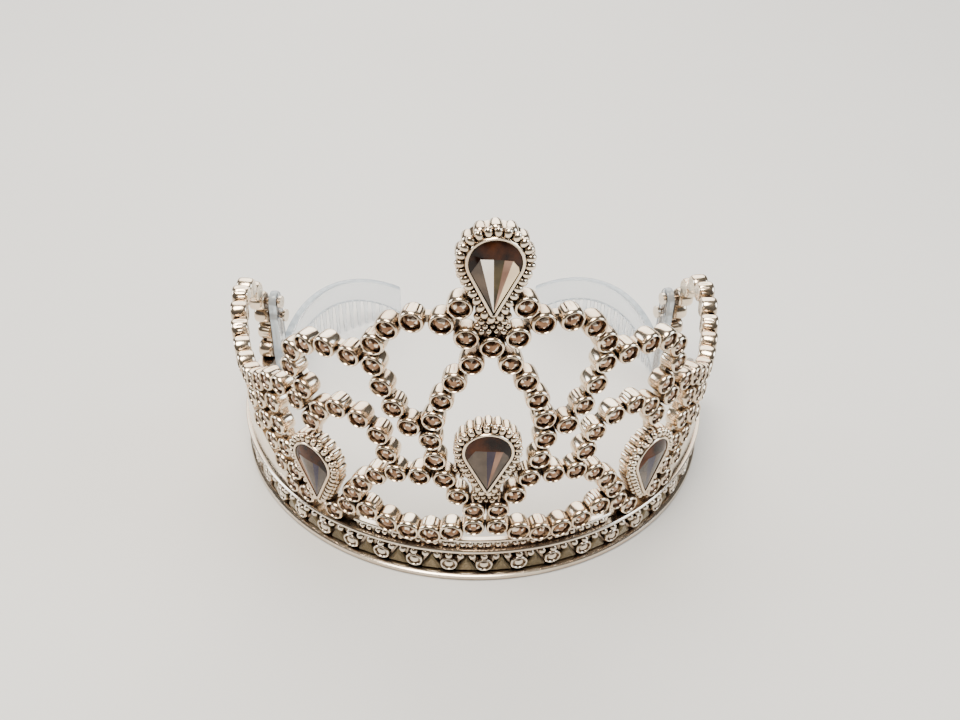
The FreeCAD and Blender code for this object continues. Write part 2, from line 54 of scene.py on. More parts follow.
def shell_matrix(s, z):
    """Local frame on the shell in millimetres: x along the band, y up the lean, z outwards."""
    turn = s / BASE_RADIUS
    lean = LEAN - LEAN_FADE * math.sin(turn) ** 4
    tilt = math.atan(lean)
    across = Vector((math.cos(turn), math.sin(turn), 0))
    up = Vector((math.sin(tilt) * math.sin(turn), -math.sin(tilt) * math.cos(turn), math.cos(tilt)))
    out = across.cross(up)
    radius = BASE_RADIUS + lean * z
    matrix = Matrix((across, up, out)).transposed().to_4x4()
    matrix.translation = Vector((radius * math.sin(turn), AXIS_Y - radius * math.cos(turn), z))
    return matrix


def shell_place(point):
    """(s, z) of a point given in metres."""
    x, y = point.x / MM, point.y / MM - AXIS_Y
    return BASE_RADIUS * math.atan2(x, -y), point.z / MM


# ---- mesh making --------------------------------------------------------------------------
SHARP_ANGLE = math.radians(38)
POLE_RADIUS = 1e-6  # a smaller radius is a point on the axis
GROOVE_SHARPNESS = 6
BAR_ROUND = 0.35
RIB_SIDES = 20
RIB_NOSE_STEPS = 5


class Builder:
    """Collects shapes in millimetres and turns them into one piece in metres."""

    def __init__(self):
        self.points, self.faces, self.slots, self.smooth = [], [], [], []

    def add(self, points, faces, matrix=None, slot=0, smooth=True):
        base = len(self.points)
        matrix = matrix or Matrix.Identity(4)
        self.points += [matrix @ Vector(p) for p in points]
        self.faces += [[base + i for i in f] for f in faces]
        self.slots += list(slot) if isinstance(slot, (list, tuple)) else [slot] * len(faces)
        self.smooth += [smooth] * len(faces)

    def finish(self, name, materials, finish_slot, replaced=()):
        mesh = bpy.data.meshes.new(name)
        mesh.from_pydata([p * MM for p in self.points], [], self.faces)
        for material in materials:
            mesh.materials.append(material)
        mesh.polygons.foreach_set("material_index", self.slots)
        mesh.polygons.foreach_set("use_smooth", self.smooth)
        mesh.update()
        mesh.set_sharp_from_angle(angle=SHARP_ANGLE)
        piece = bpy.data.objects.new(name, mesh)
        bpy.context.scene.collection.objects.link(piece)
        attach(piece, "root")
        if replaced:
            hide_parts(*replaced)
        return piece


def lathe(profile, sides, groove_depth=0.0, grooves=0, groove_heights=(0, 0)):
    """Turned shape round the local z axis from (radius, height) points, poles closed.
    Points between the two groove_heights dip into that many narrow upright grooves."""
    points, faces, rings = [], [], []
    for radius, height in profile:
        if radius < POLE_RADIUS:
            rings.append([len(points)])
            points.append((0, 0, height))
            continue
        ring = []
        for k in range(sides):
            turn = 2 * math.pi * k / sides
            r = radius
            if grooves and groove_heights[0] < height < groove_heights[1]:
                r -= groove_depth * max(0.0, math.cos(grooves * turn)) ** GROOVE_SHARPNESS
            ring.append(len(points))
            points.append((r * math.cos(turn), r * math.sin(turn), height))
        rings.append(ring)
    for low, high in zip(rings[:-1], rings[1:]):
        for k in range(sides):
            after = (k + 1) % sides
            if len(low) == 1:
                faces.append([low[0], high[k], high[after]][::-1])
            elif len(high) == 1:
                faces.append([low[k], low[after], high[0]])
            else:
                faces.append([low[k], low[after], high[after], high[k]])
    return points, faces


def flipped(faces):
    """The same faces, turned to face the other way."""
    return [f[::-1] for f in faces]


def loft(rings, close_first=False, close_last=False):
    """Skin over closed rings of equal length."""
    count = len(rings[0])
    points = [p for ring in rings for p in ring]
    faces = []
    for r in range(len(rings) - 1):
        here, there = r * count, (r + 1) * count
        for k in range(count):
            after = (k + 1) % count
            faces.append([here + k, here + after, there + after, there + k])
    if close_first:
        faces.append(list(range(count))[::-1])
    if close_last:
        faces.append([(len(rings) - 1) * count + k for k in range(count)])
    return points, faces


def bead(radius, sides=10, rows=6):
    """Ball round the local origin, with its poles on the z axis."""
    profile = []
    for k in range(rows + 1):
        turn = math.pi * k / rows - math.pi / 2
        profile.append((radius * math.cos(turn), radius * math.sin(turn)))
    profile[0], profile[-1] = (0, -radius), (0, radius)
    return lathe(profile, sides)


def rib(radius, back, front):
    """Round-nosed rib along the local z axis, a little slimmer at the back."""
    foot, waist, nose = radius * 0.8, radius * 0.92, radius * 0.8
    profile = [(0, back), (foot, back), (waist, back + 0.3), (radius, (back + front) / 2)]
    for k in range(RIB_NOSE_STEPS):
        turn = math.pi / 2 * k / RIB_NOSE_STEPS
        profile.append((radius * math.cos(turn), front - nose + nose * math.sin(turn)))
    profile.append((0, front))
    return lathe(profile, RIB_SIDES)


def swept_band(profile, start, end, step=0.75):
    """Closed (radius, height) outline turned round the tiara's axis between two values of s."""
    count = max(2, int((end - start) / step))
    rings = []
    for k in range(count + 1):
        turn = (start + (end - start) * k / count) / BASE_RADIUS
        rings.append([(r * math.sin(turn), AXIS_Y - r * math.cos(turn), z) for r, z in profile])
    points, faces = loft(rings, True, True)
    return points, flipped(faces)


def bar(start, end, width, back, front):
    """Round-edged strip behind the cups between two places on the shell."""
    a, b = shell_matrix(*start), shell_matrix(*end)
    first, last = a @ Vector((0, 0, back)), b @ Vector((0, 0, back))
    along = (last - first).normalized()
    out = shell_matrix((start[0] + end[0]) / 2, (start[1] + end[1]) / 2).to_3x3() @ Vector((0, 0, 1))
    out = (out - along * out.dot(along)).normalized()
    side = along.cross(out)
    half, depth, r = width / 2, front - back, BAR_ROUND
    outline = [(-half, r), (-half + r, 0), (half - r, 0), (half, r), (half, depth - r),
               (half - r, depth), (-half + r, depth), (-half, depth - r)]
    rings = [[p + side * x + out * z for x, z in outline] for p in (first, last)]
    points, faces = loft(rings, True, True)
    return points, flipped(faces)


# ---- materials ----------------------------------------------------------------------------
TINT_RANGE = (0.4, 0.65)  # noise values over which the tint comes in
# Painted shade in corners and gaps: how far the occlusion looks, and the occlusion values over which the
# shade fades out.
PAINTED_SHADE_REACH = 0.0026  # metres, as are the two bump heights
PAINTED_SHADE_RANGE = (0.3, 0.92)
RIPPLE_HEIGHT = 0.0003
GRAIN_HEIGHT = 0.0002


def material(name, colour, metallic, roughness, **sockets):
    made = bpy.data.materials.new(name)
    made.use_nodes = True
    shader = made.node_tree.nodes["Principled BSDF"]
    shader.inputs["Base Color"].default_value = (*colour, 1)
    shader.inputs["Metallic"].default_value = metallic
    shader.inputs["Roughness"].default_value = roughness
    for socket, value in sockets.items():
        shader.inputs[socket.replace("_", " ")].default_value = value
    return made


def mottle(made, tint, scale, amount, rough, ripple=None, painted_shade=None):
    """Slow colour drift towards a tint, and patchy polish between two roughnesses. A ripple is
    the strength and scale of a faint moulded bump, and the last colour is painted shade in corners and
    gaps."""
    tree = made.node_tree
    shader = tree.nodes["Principled BSDF"]
    base = shader.inputs["Base Color"].default_value[:]
    where = tree.nodes.new("ShaderNodeTexCoord")
    drift = tree.nodes.new("ShaderNodeTexNoise")
    drift.inputs["Scale"].default_value = scale
    drift.inputs["Detail"].default_value = 4
    tree.links.new(where.outputs["Object"], drift.inputs["Vector"])
    blend = tree.nodes.new("ShaderNodeMix")
    blend.data_type = "RGBA"
    blend.inputs["A"].default_value = base
    blend.inputs["B"].default_value = (*tint, 1)
    reach = tree.nodes.new("ShaderNodeMapRange")
    reach.inputs["From Min"].default_value = TINT_RANGE[0]
    reach.inputs["From Max"].default_value = TINT_RANGE[1]
    reach.inputs["To Max"].default_value = amount
    tree.links.new(drift.outputs["Fac"], reach.inputs["Value"])
    tree.links.new(reach.outputs["Result"], blend.inputs["Factor"])
    colour = blend.outputs["Result"]
    # Painted shade: ambient occlusion darkens the colour in corners, gaps and recesses.
    if painted_shade:
        hollow = tree.nodes.new("ShaderNodeAmbientOcclusion")
        hollow.samples = 6
        hollow.inputs["Distance"].default_value = PAINTED_SHADE_REACH
        reach = tree.nodes.new("ShaderNodeMapRange")
        reach.inputs["From Min"].default_value = PAINTED_SHADE_RANGE[0]
        reach.inputs["From Max"].default_value = PAINTED_SHADE_RANGE[1]
        tree.links.new(hollow.outputs["AO"], reach.inputs["Value"])
        shade_mix = tree.nodes.new("ShaderNodeMix")
        shade_mix.data_type = "RGBA"
        shade_mix.inputs["A"].default_value = (*painted_shade, 1)
        tree.links.new(reach.outputs["Result"], shade_mix.inputs["Factor"])
        tree.links.new(colour, shade_mix.inputs["B"])
        colour = shade_mix.outputs["Result"]
    tree.links.new(colour, shader.inputs["Base Color"])
    polish = tree.nodes.new("ShaderNodeMapRange")
    polish.inputs["To Min"].default_value = rough[0]
    polish.inputs["To Max"].default_value = rough[1]
    tree.links.new(drift.outputs["Fac"], polish.inputs["Value"])
    tree.links.new(polish.outputs["Result"], shader.inputs["Roughness"])
    if ripple:
        waves = tree.nodes.new("ShaderNodeTexNoise")
        waves.inputs["Scale"].default_value = ripple[1]
        tree.links.new(where.outputs["Object"], waves.inputs["Vector"])
        lift = tree.nodes.new("ShaderNodeBump")
        lift.inputs["Strength"].default_value = ripple[0]
        lift.inputs["Distance"].default_value = RIPPLE_HEIGHT
        tree.links.new(waves.outputs["Fac"], lift.inputs["Height"])
        tree.links.new(lift.outputs["Normal"], shader.inputs["Normal"])
    return made


def stippled(made, scale, strength):
    """Fine grained cast texture."""
    tree = made.node_tree
    where = tree.nodes.new("ShaderNodeTexCoord")
    grains = tree.nodes.new("ShaderNodeTexVoronoi")
    grains.inputs["Scale"].default_value = scale
    lift = tree.nodes.new("ShaderNodeBump")
    lift.inputs["Strength"].default_value = strength
    lift.inputs["Distance"].default_value = GRAIN_HEIGHT
    tree.links.new(where.outputs["Object"], grains.inputs["Vector"])
    tree.links.new(grains.outputs["Distance"], lift.inputs["Height"])
    tree.links.new(lift.outputs["Normal"], tree.nodes["Principled BSDF"].inputs["Normal"])
    return made


# Each plating's last colour is painted shade for its corners and gaps.
plating = mottle(
    material("silver_plating", (0.92, 0.78, 0.61), 1.0, 0.16),
    (0.60, 0.44, 0.30), scale=110, amount=0.7, rough=(0.12, 0.26), ripple=(0.1, 500),
    painted_shade=(0.09, 0.055, 0.032))
band_plating = mottle(
    material("band_plating", (0.90, 0.80, 0.67), 1.0, 0.16),
    (0.62, 0.49, 0.38), scale=60, amount=0.6, rough=(0.13, 0.27), ripple=(0.12, 400),
    painted_shade=(0.14, 0.085, 0.05))
cast_plating = stippled(
    material("stippled_plating", (0.20, 0.16, 0.10), 1.0, 0.3), scale=2600, strength=0.9)
# Round stone facet tones are painted reflections: the dark tone is painted shade, the light one a painted
# highlight.
stone_dark = mottle(
    material("stone_dark", (0.040, 0.018, 0.009), 0.6, 0.1),
    (0.10, 0.045, 0.022), scale=400, amount=0.8, rough=(0.06, 0.16))
stone_mid = mottle(
    material("stone_mid", (0.30, 0.17, 0.10), 0.8, 0.1),
    (0.17, 0.085, 0.045), scale=400, amount=0.8, rough=(0.06, 0.16))
stone_light = mottle(
    material("stone_light", (0.97, 0.85, 0.72), 0.85, 0.08, Coat_Weight=1.0),
    (0.82, 0.62, 0.46), scale=400, amount=0.6, rough=(0.05, 0.14))
# Pear stone facet colours are painted reflections: near-black facets are painted shade, pale and cream
# facets painted highlights.
gem_cap = mottle(
    material("gem_cap", (0.008, 0.003, 0.002), 0.0, 0.08, Specular_IOR_Level=0.2),
    (0.10, 0.028, 0.007), scale=180, amount=0.7, rough=(0.05, 0.1))
gem_pale = mottle(
    material("gem_pale", (0.95, 0.88, 0.80), 0.7, 0.08, Coat_Weight=1.0),
    (0.80, 0.68, 0.58), scale=160, amount=0.6, rough=(0.05, 0.12))
gem_olive = mottle(
    material("gem_olive", (0.020, 0.013, 0.003), 0.0, 0.07, Specular_IOR_Level=0.35),
    (0.085, 0.060, 0.020), scale=160, amount=0.8, rough=(0.05, 0.12))
gem_rose = mottle(
    material("gem_rose", (0.34, 0.20, 0.14), 0.5, 0.08),
    (0.16, 0.08, 0.055), scale=160, amount=0.8, rough=(0.05, 0.12))
gem_cream = mottle(
    material("gem_cream", (1.0, 0.80, 0.52), 0.7, 0.08, Coat_Weight=1.0),
    (0.72, 0.50, 0.30), scale=160, amount=0.7, rough=(0.05, 0.12))
gem_smoke = mottle(
    material("gem_smoke", (0.060, 0.045, 0.036), 0.2, 0.08, Specular_IOR_Level=0.4),
    (0.15, 0.105, 0.075), scale=160, amount=0.8, rough=(0.05, 0.12))
gem_plum = mottle(
    material("gem_plum", (0.018, 0.012, 0.034), 0.1, 0.07, Specular_IOR_Level=0.4),
    (0.055, 0.035, 0.040), scale=160, amount=0.8, rough=(0.05, 0.12))
clear = mottle(
    material("clear_comb", (0.88, 0.91, 0.94), 0.0, 0.05, Transmission_Weight=0.92, IOR=1.49),
    (0.80, 0.84, 0.88), scale=40, amount=0.5, rough=(0.04, 0.12))
# Painted shade: the comb's edge faces are darker and less clear than its broad sides.
edge_shade = mottle(
    material("clear_comb_edge", (0.72, 0.79, 0.85), 0.0, 0.1, Transmission_Weight=0.6, IOR=1.49),
    (0.62, 0.70, 0.77), scale=60, amount=0.5, rough=(0.06, 0.14))


# ---- cups and round stones ----------------------------------------------------------------
CUP_PROFILE = [
    (0, -4.0), (1.7, -4.0), (1.85, -3.99), (2.12, -3.88), (2.3, -3.6), (2.42, -3.1), (2.5, -2.4),
    (2.54, -1.7), (2.55, -1.1), (2.51, -0.66), (2.42, -0.32), (2.28, -0.08), (2.12, 0.03),
    (1.98, 0.0), (1.88, -0.14), (1.83, -0.36), (1.8, -0.6), (1.74, -1.3), (0, -1.3)]
PLAIN_CUP = lathe(CUP_PROFILE, 32)
GROOVED_CUP = lathe(CUP_PROFILE, 48, groove_depth=0.16, grooves=12, groove_heights=(-3.7, -1.0))
STONE_SIDES = 8
STONE_EDGE = 1.77
# Radius, height and shift, in sides, of a round stone's rings, from its foot to its table.
STONE_RINGS = [(STONE_EDGE, -1.25, 0), (STONE_EDGE, -0.92, 0), (1.28, -0.48, 0.5), (0.66, -0.16, 0)]
# Order of the painted shade, middle and painted highlight tones (0, 1, 2) round the facets.
STONE_TONES = [1, 2, 1, 0, 2, 1, 2, 0, 1, 0, 2, 1]


def round_stone(turn):
    """Two rings of crown facets round a small table; the facet tones, painted reflections, go round with
    the turn.
    """
    def tone(n):
        return STONE_TONES[(n + turn) % len(STONE_TONES)]

    sides, points = STONE_SIDES, []
    for radius, height, shift in STONE_RINGS:
        for k in range(sides):
            a = 2 * math.pi * (k + shift) / sides
            points.append((radius * math.cos(a), radius * math.sin(a), height))
    faces, slots = [list(range(sides))[::-1]], [0]
    edge, crown, table = sides, 2 * sides, 3 * sides
    for k in range(sides):
        after = (k + 1) % sides
        faces += [[k, after, edge + after, edge + k],
                  [edge + k, edge + after, crown + k],
                  [edge + after, crown + after, crown + k],
                  [crown + k, crown + after, table + after],
                  [crown + k, table + after, table + k]]
        slots += [0, tone(k), tone(5 * k + 3), tone(7 * k + 1), tone(5 * k + 6)]
    faces.append([table + k for k in range(sides)])
    slots.append(1)
    return points, faces, slots


MICRONS = 1e6  # in a metre


def islands(node):
    """(s, z) of the middle of each loose part of a CAD node's mesh."""
    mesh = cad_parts[node].data
    parent = {}

    def root(key):
        while parent[key] != key:
            parent[key] = parent[parent[key]]
            key = parent[key]
        return key

    keys = [tuple(round(c * MICRONS) for c in v.co) for v in mesh.vertices]
    for key in keys:
        parent.setdefault(key, key)
    for edge in mesh.edges:
        a, b = root(keys[edge.vertices[0]]), root(keys[edge.vertices[1]])
        parent[a] = b
    groups = {}
    for key in parent:
        groups.setdefault(root(key), []).append(Vector(key) / MICRONS)
    middles = [(Vector(map(min, *g)) + Vector(map(max, *g))) / 2 for g in groups.values()]
    return sorted((shell_place(m) for m in middles), key=lambda p: (round(p[1], 2), p[0]))


def distance(a, b):
    """Straight distance between two places on the shell."""
    return (shell_matrix(*a).translation - shell_matrix(*b).translation).length


# Strips that join a row to its neighbours or to the band, each between two places on the shell.
TIES = {
    "centre_arch": [((0, 67.9), (0, 77)), ((2.6, 22.5), (0, 30)), ((-2.6, 22.5), (0, 30))],
    "cross_row": [((32.0, 16.3), (32.0, 10)), ((36.0, 12.5), (36.0, 9.5)), ((14.1, 32.0), (10.5, 31.2))],
    "flank_rows": [((44.4, 12.9), (44.4, 9.5)), ((49.7, 12.8), (49.7, 9.5))],
    "upper_scroll": [((15.8, 45.9), (10.6, 42.9)), ((4.6, 70.0), (0, 67.9))],
    "side_scroll": [((27.2, 61.3), (22.4, 60.6))],
    "shoulder_row": [((39.1, 38.8), (40.2, 34))],
    "swag_row": [((7.5, 15.2), (2.6, 17.2)), ((12.6, 14.2), (12.6, 11.5)), ((17.5, 13.9), (17.5, 11.5)),
                 ((22.2, 15.0), (22.2, 11.5))],
}
# Cups nearer than this are joined, within a row and between rows. A bar is width, back, front.
ROW_REACH, ROW_BAR = 6.4, (1.9, -3.8, -1.6)
CROSS_REACH, CROSS_BAR = 5.75, (1.9, -3.7, -2.0)
TIE_BAR = (2.2, -3.9, -1.8)
WIDER_ROWS = {"swag_row": 1.1, "end_loop": 1.07}
GROOVED_EVERY = 3
STONE_TURN_STEP = 0.35
STONES = "stones_"

cup_rows = {}
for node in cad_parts:
    if node.startswith(STONES):
        cup_rows[node.removeprefix(STONES)] = islands(node)

for name, cups in cup_rows.items():
    metal, gems = Builder(), Builder()
    family = name.removesuffix("_left").removesuffix("_right")
    grown = WIDER_ROWS.get(family, 1.0)
    wider = Matrix.Diagonal((grown, grown, 1.0, 1.0))
    for i, cup in enumerate(cups):
        shape = GROOVED_CUP if i % GROOVED_EVERY == 1 else PLAIN_CUP
        metal.add(*shape, shell_matrix(*cup) @ wider)
        points, faces, slots = round_stone(5 * i + 2)
        turned = Matrix.Rotation(STONE_TURN_STEP * i, 4, "Z")
        gems.add(points, faces, shell_matrix(*cup) @ wider @ turned, slots, False)
        for other in cups[i + 1:]:
            if distance(cup, other) < ROW_REACH:
                metal.add(*bar(cup, other, *ROW_BAR))
        for other_name, others in cup_rows.items():
            if other_name > name:
                for other in others:
                    if distance(cup, other) < CROSS_REACH:
                        metal.add(*bar(cup, other, *CROSS_BAR))
    flip = -1 if name.endswith("_right") else 1
    for (s1, z1), (s2, z2) in TIES.get(family, []):
        metal.add(*bar((flip * s1, z1), (flip * s2, z2), *TIE_BAR))
    metal.finish("look_" + name, [plating], "silver_plating", [name])
    gems.finish("look_stones_" + name, [stone_dark, stone_mid, stone_light], "round_stone",
                [STONES + name])


# ---- small filler beads where the rows meet ------------------------------------------------
# Middle, half width, half height and pitch of each patch.
FILLERS = [((0, 72.6), 3.4, 4.2, 1.35), ((0, 27.6), 2.9, 2.6, 1.3), ((5.9, 33.6), 1.6, 2.2, 1.3),
           ((-5.9, 33.6), 1.6, 2.2, 1.3)]
FILLER_GAP = 2.75
FILLER_FACE = -1.2
FILLER_SIZE, FILLER_STEP = 0.42, 0.12  # smallest radius, in pitches, and the step to the next size
FILLER_POST = lathe([(0, -3.8), (0.5, -3.8), (0.5, FILLER_FACE), (0, FILLER_FACE)], 8)
ROW_HEIGHT = 0.87  # of the pitch, for rows that nest
fillers = Builder()
all_cups = [cup for cups in cup_rows.values() for cup in cups]
for (middle_s, middle_z), half_width, half_height, pitch in FILLERS:
    rows, columns = int(half_height / pitch) + 1, int(half_width / pitch) + 1
    for row in range(-rows, rows + 1):
        for column in range(-columns, columns + 1):
            ds, dz = (column + 0.5 * (row % 2)) * pitch, row * pitch * ROW_HEIGHT
            spot = (middle_s + ds, middle_z + dz)
            clear_of_cups = min(distance(spot, cup) for cup in all_cups) > FILLER_GAP
            if (ds / half_width) ** 2 + (dz / half_height) ** 2 < 1 and clear_of_cups:
                radius = FILLER_SIZE * pitch + FILLER_STEP * ((row * 3 + column * 5) % 3)
                forward = Matrix.Translation((0, 0, FILLER_FACE))
                fillers.add(*bead(radius), shell_matrix(*spot) @ forward)
                fillers.add(*FILLER_POST, shell_matrix(*spot))
fillers.finish("look_filler_beads", [plating], "silver_plating")


# ---- pear settings ------------------------------------------------------------------------
PEAR_RADIUS = 4.7
PEAR_TIP = 11.2
PEAR_SLOPE = math.asin(PEAR_RADIUS / PEAR_TIP)
ARC_STEPS = 28
TIP_STEPS = 4
SIDE_STEPS = 6
TIP_ROUND = 0.15
TIP_PULL = 0.9
SMALLEST_TIP = 0.05


def pear_ring(offset, height):
    """Pear outline grown by an offset, with a rounded tip, always the same number of points."""
    ring = []
    radius = PEAR_RADIUS + offset
    for k in range(ARC_STEPS + 1):
        turn = -PEAR_SLOPE + (math.pi + 2 * PEAR_SLOPE) * k / ARC_STEPS
        ring.append(Vector((radius * math.cos(turn), radius * math.sin(turn), height)))
    tip_radius = max(offset, SMALLEST_TIP) + TIP_ROUND
    if offset < 0:
        tip_y = -PEAR_TIP - offset / math.sin(PEAR_SLOPE)
    else:
        tip_y = -PEAR_TIP + TIP_ROUND / math.sin(PEAR_SLOPE) * TIP_PULL
    tip_centre = Vector((0, tip_y, height))
    tip = []
    for k in range(TIP_STEPS + 1):
        turn = math.pi + PEAR_SLOPE + (math.pi - 2 * PEAR_SLOPE) * k / TIP_STEPS
        tip.append(tip_centre + Vector((tip_radius * math.cos(turn), tip_radius * math.sin(turn), 0)))
    left, right = ring[-1], ring[0]
    ring += [left.lerp(tip[0], k / SIDE_STEPS) for k in range(1, SIDE_STEPS)]
    ring += tip
    ring += [tip[-1].lerp(right, k / SIDE_STEPS) for k in range(1, SIDE_STEPS)]
    return ring


def along_pear(offset, pitch, height, shift=0.0):
    """Evenly spaced places along a grown pear outline, shifted by a part of their spacing."""
    ring = pear_ring(offset, height)
    lengths = [(ring[(k + 1) % len(ring)] - ring[k]).length for k in range(len(ring))]
    total = sum(lengths)
    count = round(total / pitch)
    places = []
    for n in range(count):
        reach, k = (n + shift) * total / count % total, 0
        while reach > lengths[k]:
            reach -= lengths[k]
            k += 1
        places.append(ring[k].lerp(ring[(k + 1) % len(ring)], reach / lengths[k]))
    return places


# (offset from the pear outline, height) from the back, over the bezel's lip and into its seat.
BEZEL = [(1.5, -4.0), (1.62, -3.98), (1.78, -3.8), (1.78, -1.4), (1.65, -1.15), (1.3, -0.95), (0.84, -0.8),
         (0.8, -0.2), (0.74, 0.14), (0.56, 0.34), (0.3, 0.38), (0.1, 0.26), (0.0, -0.1), (0.0, -0.95)]
HALO_OFFSET, HALO_HEIGHT, HALO_STRETCH = 1.5, -0.5, 1.3
# Halo beads point outwards: level down to this y, and below it by only a share of their own y.
HALO_LEVEL_END, HALO_TIP_SHARE = -2, 0.35
CROWN_RIB = (-3.85, -0.5)  # back and front
SIDE_RIB_OFFSET, SIDE_RIB_PITCH, SIDE_RIB = 2.1, 1.7, (0.84, -3.7, -0.7)
SIDE_RIB_DROP = 0.6  # below the crown's lowest rib


def build_setting(s, z, ribs, rib_radius, rib_ring, spread, bead_pitch):
    """Bezel, halo of oval beads, fan of crown ribs over spread degrees, and small side ribs."""
    metal, matrix = Builder(), shell_matrix(s, z)
    metal.add(*loft([pear_ring(o, h) for o, h in BEZEL], True, True), matrix)
    for p in along_pear(HALO_OFFSET, bead_pitch, HALO_HEIGHT):
        rise = max(p.y, 0) if p.y > HALO_LEVEL_END else p.y * HALO_TIP_SHARE
        away = Vector((p.x, rise, 0)).normalized()
        turned = Matrix.Translation(p) @ Matrix.Rotation(math.atan2(away.y, away.x), 4, "Z")
        longer = Matrix.Diagonal((HALO_STRETCH, 1.0, 1.0, 1.0))
        metal.add(*bead(0.5 * bead_pitch), matrix @ turned @ longer)
    start = math.pi / 2 - math.radians(spread) / 2
    for k in range(ribs):
        turn = start + math.radians(spread) * k / (ribs - 1)
        p = Vector((rib_ring * math.cos(turn), rib_ring * math.sin(turn), 0))
        metal.add(*rib(rib_radius, *CROWN_RIB), matrix @ Matrix.Translation(p))
    low = math.sin(start) * rib_ring - SIDE_RIB_DROP
    for p in along_pear(SIDE_RIB_OFFSET, SIDE_RIB_PITCH, 0, 0.5):
        if p.y < low:
            metal.add(*rib(*SIDE_RIB), matrix @ Matrix.Translation(p))
    return metal


PEAR_EDGE, PEAR_BACK = 0.1, -0.95  # heights of a pear stone's edge and back
PEAR_FIT, PEAR_TIP_GAP = -0.02, 0.35  # how far its edge and tip stay inside the outline
RIDGE_START, RIDGE_SHARE = 0.12, 0.76  # part of the ridge that the arc's facets lean on
PEAR_RIDGE = [(3.95, 0.5, 0.4), (3.0, 0.95, 0.85), (1.5, 1.3, 1.1), (-0.4, 1.5, 1.2), (-2.7, 1.35, 0.85),
              (-3.75, 0.75, 0.35)]


def pear_stone(tones):
    """Sloping cap at the round end, a curved ridge, and fan facets from it down to the tip."""
    outline = pear_ring(PEAR_FIT, 0)[:ARC_STEPS + 1]
    arc = [(p.x, p.y, PEAR_EDGE) for p in outline]
    tip = (0, -PEAR_TIP + PEAR_TIP_GAP, PEAR_EDGE)
    base = [(x, y, PEAR_BACK) for x, y, _ in arc] + [(0, tip[1], PEAR_BACK)]
    points = arc + [tip] + PEAR_RIDGE + base
    count, first = len(arc), len(arc) + 1
    low = first + len(PEAR_RIDGE)
    faces, slots = [], []
    steps, last = count - 1, len(PEAR_RIDGE) - 1
    # The ridge point that each point of the arc leans on.
    owner = [round(last * (RIDGE_START + RIDGE_SHARE * k / steps)) for k in range(count)]
    owner[0], owner[-1] = 0, last
    for k in range(steps):
        faces.append([k, k + 1, first + owner[k]])
        slots.append(0)
        for j in range(owner[k], owner[k + 1]):
            faces.append([k + 1, first + j + 1, first + j])
            slots.append(0)
    for k in range(last):
        faces.append([first + k, first + k + 1, steps + 1])
        slots.append(tones[k])
    faces += [[steps + 1, 0, first], [first + last, steps, steps + 1]]
    slots += [tones[0], tones[-1]]
    total = count + 1
    for k in range(total):
        after = (k + 1) % total
        faces.append([k, low + k, low + after, after])
        slots.append(0)
    faces.append([low + k for k in range(total)][::-1])
    slots.append(0)
    return points, faces, slots


GEM_REFLECTION_PALETTE = [gem_cap, gem_pale, gem_olive, gem_rose, gem_cream, gem_smoke, gem_plum]
TOP_CROWN = {"ribs": 9, "rib_radius": 1.33, "rib_ring": 5.9, "spread": 212, "bead_pitch": 1.72}
CROWN = {"ribs": 13, "rib_radius": 1.08, "rib_ring": 6.1, "spread": 225, "bead_pitch": 1.6}
# Place, crown, and the palette number of each fan facet's painted reflection colour.
SETTINGS = {
    "top": ((0, 87.3), TOP_CROWN, [4, 3, 2, 1, 5]),
    "centre": ((0, 40.8), CROWN, [5, 3, 6, 5, 5]),
    "side_left": ((40.2, 26.2), CROWN, [5, 5, 5, 6, 5]),
    "side_right": ((-40.2, 26.2), CROWN, [5, 6, 5, 5, 3]),
}
for name, (place, crown, tones) in SETTINGS.items():
    spot, _, side = name.partition("_")
    ending = "_" + side if side else ""
    metal = build_setting(*place, **crown)
    metal.finish(f"look_{spot}_setting{ending}", [plating], "silver_plating", [f"{spot}_setting{ending}"])
    gem = Builder()
    points, faces, slots = pear_stone(tones)
    gem.add(points, faces, shell_matrix(*place), slots, False)
    gem.finish(f"look_{spot}_pear_stone{ending}", GEM_REFLECTION_PALETTE, "pear_stone",
               [f"{spot}_pear_stone{ending}"])


# ---- base band ----------------------------------------------------------------------------
HALF_ARC = BASE_RADIUS * math.radians(106)
PATTERN_HALF = 76.0
BAND_INNER = 56.6
BAND_CORNER = 0.3
CHANNEL_FLOOR = 58.5
PLAIN_FACE = 60.25


def band_outline(face):
    """(radius, height) outline of the whole band, with the face between its rims at radius face."""
    corner = BAND_INNER + BAND_CORNER
    return [(corner, 0.0), (60.2, 0.0), (60.55, 0.12), (60.7, 0.45), (60.7, 0.9), (60.55, 1.3),
            (60.2, 1.5), (face, 1.7), (face, 8.35), (60.2, 8.5), (60.45, 8.62), (60.6, 8.85),
            (60.72, 9.2), (60.72, 9.5), (60.5, 9.75), (60.2, 9.8), (corner, 9.8),
            (BAND_INNER, 9.5), (BAND_INNER, BAND_CORNER)]


metal = Builder()
metal.add(*swept_band(band_outline(CHANNEL_FLOOR), -PATTERN_HALF, PATTERN_HALF))
for side in (-1, 1):
    ends = sorted([side * PATTERN_HALF, side * HALF_ARC])
    metal.add(*swept_band(band_outline(PLAIN_FACE), *ends))
metal.finish("look_base_band", [band_plating], "silver_plating", ["base_band"])

